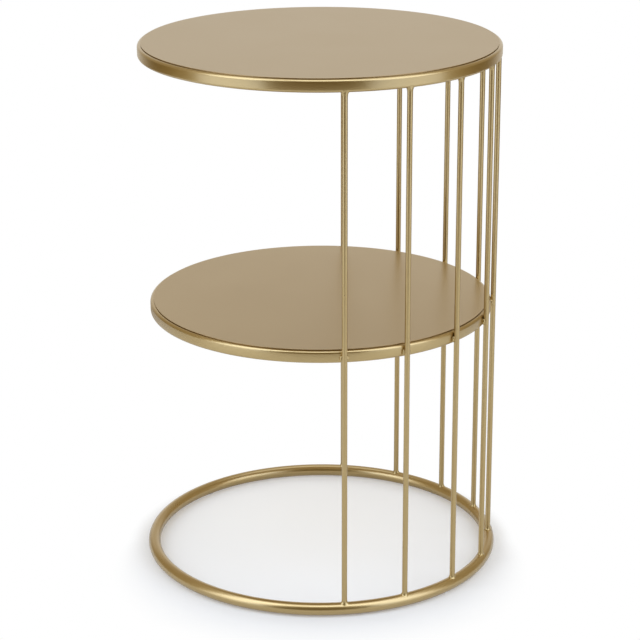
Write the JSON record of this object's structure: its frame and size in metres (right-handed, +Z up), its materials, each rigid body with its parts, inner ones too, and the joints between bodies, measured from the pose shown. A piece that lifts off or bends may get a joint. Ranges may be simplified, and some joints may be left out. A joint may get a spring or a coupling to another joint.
{
  "type": "tiered side table",
  "caption": "Round tiered metal side table: flat disc top and mid shelf on tube hoops, held by slender uprights along one half of a ring base and open on the other side.",
  "frame": {"origin": "on the floor, on the common axis of the hoops", "axes": "+Z up along the axis of the hoops, +X towards the middle of the row of uprights, -X towards the open side"},
  "size_m": [0.407, 0.407, 0.6],
  "materials": {
    "frame_lacquer": "satin metallic gold lacquer on steel tube and bar",
    "panel_lacquer": "satin metallic gold lacquer on steel sheet",
    "weld_lacquer": "satin metallic gold lacquer over weld beads",
    "glide_plastic": "natural polyethylene, moulded"
  },
  "bodies": {
    "root": {"top_hoop": "frame_lacquer", "top_panel": "panel_lacquer", "shelf_hoop": "frame_lacquer", "shelf_panel": "panel_lacquer", "floor_hoop": "frame_lacquer", "upright_1": "frame_lacquer", "upright_2": "frame_lacquer", "upright_3": "frame_lacquer", "upright_4": "frame_lacquer", "upright_5": "frame_lacquer", "upright_6": "frame_lacquer", "upright_7": "frame_lacquer", "upright_8": "frame_lacquer", "upright_9": "frame_lacquer", "top_welds": "weld_lacquer", "shelf_welds": "weld_lacquer", "floor_welds": "weld_lacquer", "top_panel_tacks": "weld_lacquer", "shelf_panel_tacks": "weld_lacquer", "floor_glides": "glide_plastic"}
  },
  "joints": []
}
